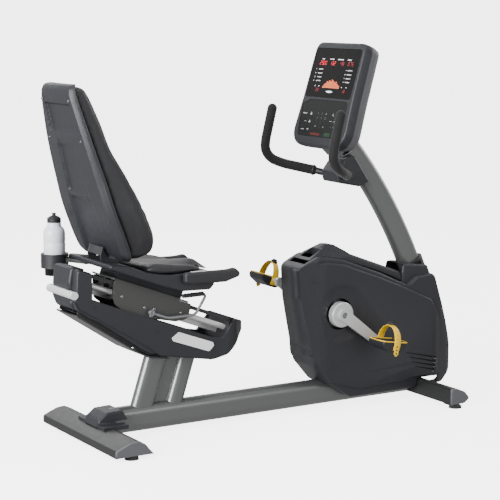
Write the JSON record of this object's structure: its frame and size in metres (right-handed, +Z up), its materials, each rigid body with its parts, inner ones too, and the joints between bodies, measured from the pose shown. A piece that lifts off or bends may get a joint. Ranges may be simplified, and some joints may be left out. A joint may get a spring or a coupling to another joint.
{
  "type": "recumbent exercise bike",
  "caption": "Recumbent exercise bike with a low sliding seat on inclined rails, a belt drive in a moulded housing, straps on its pedals and a console on a curved mast.",
  "frame": {"origin": "On the floor, under the middle of the whole bike.", "axes": "+X forwards from the seat to the pedals and console, +Y to the rider's left, +Z up."},
  "size_m": [1.5964, 0.57, 1.3186],
  "materials": {
    "frame_paint": "satin dark grey powder coat with a fine texture",
    "rail_metal": "satin light grey paint",
    "dark_plastic": "matte dark blue-grey moulded plastic, fine grain",
    "grey_plastic": "matte mid-grey moulded plastic",
    "black_plastic": "matte black plastic",
    "bright_steel": "bright plated steel",
    "bolt_steel": "dark zinc-plated steel",
    "crank_silver": "silver-white satin paint",
    "rubber": "black rubber",
    "foam_rubber": "matte black foam grip",
    "handle_rubber": "black moulded handle grip",
    "bar_paint": "black powder coat",
    "label_white": "white plate with no print",
    "copper_windings": "steel core with copper windings",
    "display_black": "gloss black window over lit red digits",
    "membrane": "printed black membrane",
    "strap_yellow": "yellow moulded strap",
    "flywheel_iron": "turned cast iron",
    "carriage_paint": "satin grey-green paint",
    "bronze": "plain bearing bronze",
    "upholstery": "black upholstery vinyl",
    "lever_steel": "satin grey paint with a black sleeve",
    "bottle_plastic": "clear pale plastic"
  },
  "bodies": {
    "frame": {"main_tube": "frame_paint", "rear_stabilizer": "frame_paint", "front_stabilizer": "frame_paint", "stabilizer_caps": "grey_plastic", "levelling_feet": "rubber", "rear_foot_cover": "dark_plastic", "seat_posts": "frame_paint", "rail_frame": "rail_metal", "guide_rods": "bright_steel", "lock_bar": "bright_steel", "transport_handle": "bright_steel", "rail_cover_right": "dark_plastic", "rail_cover_left": "dark_plastic", "rail_end_cap": "dark_plastic", "label_plate": "label_white", "cover_screws": "black_plastic", "drive_frame": "frame_paint", "crank_bearings": "bright_steel", "flywheel_bearings": "bright_steel", "generator": "copper_windings", "drive_belt": "rubber", "housing_right": "dark_plastic", "housing_left": "dark_plastic", "housing_top_cover": "dark_plastic", "mast": "frame_paint", "mast_collar": "black_plastic", "bar_clamp": "dark_plastic", "handlebar": "bar_paint", "bar_grips": "foam_rubber", "console_back": "grey_plastic", "console_front": "dark_plastic", "display_lens": "display_black", "keypad": "membrane"},
    "crank": {"crank_axle": "bright_steel", "drive_pulley": "dark_plastic", "crank_arm_right": "crank_silver", "crank_arm_left": "crank_silver", "crank_bolts": "bolt_steel", "pedal_axles": "bright_steel"},
    "pedal_r": {"pedal_right": "dark_plastic", "pedal_strap_right": "strap_yellow"},
    "pedal_l": {"pedal_left": "dark_plastic", "pedal_strap_left": "strap_yellow"},
    "flywheel": {"flywheel": "flywheel_iron"},
    "seat": {"carriage": "carriage_paint", "carriage_bushes": "bronze", "seat_base": "dark_plastic", "seat_cushion": "upholstery", "backrest_bracket": "frame_paint", "backrest_shell": "dark_plastic", "backrest_cushion": "upholstery", "seat_handles": "handle_rubber", "pulse_sensors": "bright_steel", "bottle_holder": "black_plastic"},
    "lever": {"adjust_lever": "lever_steel"},
    "brake": {"brake_pad": "rubber"},
    "bottle": {"bottle": "bottle_plastic", "bottle_cap": "black_plastic"},
    "front_wheel_r": {"wheel_right": "rubber"},
    "front_wheel_l": {"wheel_left": "rubber"}
  },
  "joints": [
    {"name": "seat_slide", "type": "slide", "parent": "frame", "child": "seat", "axis": [0.9367, 0, -0.3502], "range_m": [-0.08, 0.11]},
    {"name": "lever_lift", "type": "hinge", "parent": "seat", "child": "lever", "pos_m": [-0.49921, -0.086, 0.438], "axis": [0, 1, 0], "range_deg": [-4.5, 0], "stiffness_Nm_per_rad": 2, "springref_deg": 5.73},
    {"name": "brake_release", "type": "slide", "parent": "seat", "child": "brake", "axis": [0, 1, 0], "range_m": [0, 0.003]},
    {"name": "crank_spin", "type": "hinge", "parent": "frame", "child": "crank", "pos_m": [0.26879, 0, 0.356], "axis": [0, 1, 0], "continuous": true},
    {"name": "flywheel_spin", "type": "hinge", "parent": "frame", "child": "flywheel", "pos_m": [0.53079, 0, 0.262], "axis": [0, 1, 0], "continuous": true},
    {"name": "right_pedal_spin", "type": "hinge", "parent": "crank", "child": "pedal_r", "pos_m": [0.40456, -0.192, 0.25369], "axis": [0, 1, 0], "continuous": true},
    {"name": "left_pedal_spin", "type": "hinge", "parent": "crank", "child": "pedal_l", "pos_m": [0.13302, 0.192, 0.45831], "axis": [0, 1, 0], "continuous": true},
    {"name": "right_wheel_spin", "type": "hinge", "parent": "frame", "child": "front_wheel_r", "pos_m": [0.66079, -0.219, 0.02], "axis": [0, 1, 0], "continuous": true},
    {"name": "left_wheel_spin", "type": "hinge", "parent": "frame", "child": "front_wheel_l", "pos_m": [0.66079, 0.219, 0.02], "axis": [0, 1, 0], "continuous": true},
    {"name": "bottle_lift", "type": "slide", "parent": "seat", "child": "bottle", "axis": [0, 0, 1], "range_m": [0, 0.06]}
  ],
  "couplings": [
    {"joint": "flywheel_spin", "follows": "crank_spin", "ratio": 5},
    {"joint": "brake_release", "follows": "lever_lift", "m_per_rad": -0.038197}
  ]
}
